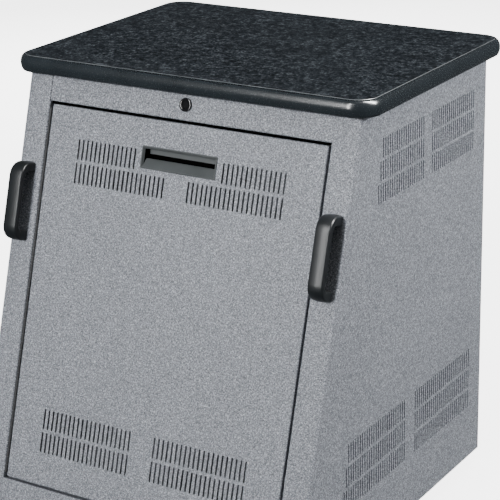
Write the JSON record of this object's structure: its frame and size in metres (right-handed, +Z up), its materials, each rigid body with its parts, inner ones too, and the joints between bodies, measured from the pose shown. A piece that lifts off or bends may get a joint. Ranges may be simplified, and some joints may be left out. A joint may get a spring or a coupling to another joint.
{
  "type": "lectern podium",
  "caption": "Mobile lectern base: sloped-front vented steel cabinet with hinged lockable doors, bow handles, recessed swivel casters and a bumper-edged laminate worktop.",
  "frame": {"origin": "on the floor, at the centre of the whole object's box", "axes": "+X to the right of a person facing the front door, +Y to the rear, +Z up"},
  "size_m": [0.66, 0.6738, 0.76],
  "materials": {
    "paint": "fine textured grey speckle powder coat",
    "laminate": "charcoal granite-pattern laminate",
    "edging": "satin black moulded bumper edging",
    "handle_plastic": "satin black moulded nylon",
    "pull_plastic": "matte dark grey moulded plastic",
    "zinc": "zinc plated steel",
    "hinge_steel": "dark chemically blackened steel",
    "lock_black": "gloss black lacquer",
    "tyre": "black rubber tread"
  },
  "bodies": {
    "cabinet": {"worktop_board": "laminate", "worktop_edging": "edging", "left_side_panel": "paint", "right_side_panel": "paint", "header_panel": "paint", "front_sill": "paint", "rear_header": "paint", "rear_sill": "paint", "top_pan": "paint", "floor_pan": "paint", "front_door_hinge_frame_leaf": "hinge_steel", "front_door_hinge_pin": "hinge_steel", "rear_door_hinge_frame_leaf": "hinge_steel", "rear_door_hinge_pin": "hinge_steel", "front_lock_body": "lock_black", "front_lock_nut": "zinc", "rear_lock_body": "lock_black", "rear_lock_nut": "zinc", "left_handle": "handle_plastic", "right_handle": "handle_plastic", "left_handle_screw_upper": "zinc", "left_handle_screw_lower": "zinc", "right_handle_screw_upper": "zinc", "right_handle_screw_lower": "zinc", "front_left_rail": "zinc", "front_right_rail": "zinc", "rear_left_rail": "zinc", "rear_right_rail": "zinc", "equipment_shelf": "paint", "caster_front_left_plate": "zinc", "caster_front_right_plate": "zinc", "caster_rear_left_plate": "zinc", "caster_rear_right_plate": "zinc"},
    "front_door": {"front_door_panel": "paint", "front_door_stiffener": "paint", "front_door_pull": "pull_plastic", "front_door_hinge_door_leaf": "hinge_steel"},
    "rear_door": {"rear_door_panel": "paint", "rear_door_stiffener": "paint", "rear_door_pull": "pull_plastic", "rear_door_hinge_door_leaf": "hinge_steel"},
    "front_lock": {"front_lock_plug": "zinc", "front_lock_cam": "zinc"},
    "rear_lock": {"rear_lock_plug": "zinc", "rear_lock_cam": "zinc"},
    "caster_front_left_swivel": {"caster_front_left_fork": "zinc", "caster_front_left_axle": "zinc"},
    "caster_front_left_roller": {"caster_front_left_wheel": "tyre"},
    "caster_front_right_swivel": {"caster_front_right_fork": "zinc", "caster_front_right_axle": "zinc"},
    "caster_front_right_roller": {"caster_front_right_wheel": "tyre"},
    "caster_rear_left_swivel": {"caster_rear_left_fork": "zinc", "caster_rear_left_axle": "zinc"},
    "caster_rear_left_roller": {"caster_rear_left_wheel": "tyre"},
    "caster_rear_right_swivel": {"caster_rear_right_fork": "zinc", "caster_rear_right_axle": "zinc"},
    "caster_rear_right_roller": {"caster_rear_right_wheel": "tyre"}
  },
  "joints": [
    {"name": "front_door_hinge", "type": "hinge", "parent": "cabinet", "child": "front_door", "pos_m": [-0.2566, -0.22028, 0.39152], "axis": [0, -0.2957, -0.9553], "range_deg": [0, 105]},
    {"name": "rear_door_hinge", "type": "hinge", "parent": "cabinet", "child": "rear_door", "pos_m": [0.2566, 0.30836, 0.393], "axis": [0, 0, -1], "range_deg": [0, 105]},
    {"name": "front_lock_turn", "type": "hinge", "parent": "cabinet", "child": "front_lock", "pos_m": [0, -0.12221, 0.71342], "axis": [0, 0.9553, -0.2957], "range_deg": [0, 90]},
    {"name": "rear_lock_turn", "type": "hinge", "parent": "cabinet", "child": "rear_lock", "pos_m": [0, 0.30986, 0.7125], "axis": [0, -1, 0], "range_deg": [0, 90]},
    {"name": "caster_front_left_swivel_turn", "type": "hinge", "parent": "cabinet", "child": "caster_front_left_swivel", "pos_m": [-0.228, -0.22, 0.09], "axis": [0, 0, 1], "continuous": true},
    {"name": "caster_front_left_wheel_spin", "type": "hinge", "parent": "caster_front_left_swivel", "child": "caster_front_left_roller", "pos_m": [-0.228, -0.192, 0.0375], "axis": [1, 0, 0], "continuous": true},
    {"name": "caster_front_right_swivel_turn", "type": "hinge", "parent": "cabinet", "child": "caster_front_right_swivel", "pos_m": [0.228, -0.22, 0.09], "axis": [0, 0, 1], "continuous": true},
    {"name": "caster_front_right_wheel_spin", "type": "hinge", "parent": "caster_front_right_swivel", "child": "caster_front_right_roller", "pos_m": [0.228, -0.192, 0.0375], "axis": [1, 0, 0], "continuous": true},
    {"name": "caster_rear_left_swivel_turn", "type": "hinge", "parent": "cabinet", "child": "caster_rear_left_swivel", "pos_m": [-0.228, 0.218, 0.09], "axis": [0, 0, 1], "continuous": true},
    {"name": "caster_rear_left_wheel_spin", "type": "hinge", "parent": "caster_rear_left_swivel", "child": "caster_rear_left_roller", "pos_m": [-0.228, 0.246, 0.0375], "axis": [1, 0, 0], "continuous": true},
    {"name": "caster_rear_right_swivel_turn", "type": "hinge", "parent": "cabinet", "child": "caster_rear_right_swivel", "pos_m": [0.228, 0.218, 0.09], "axis": [0, 0, 1], "continuous": true},
    {"name": "caster_rear_right_wheel_spin", "type": "hinge", "parent": "caster_rear_right_swivel", "child": "caster_rear_right_roller", "pos_m": [0.228, 0.246, 0.0375], "axis": [1, 0, 0], "continuous": true}
  ]
}
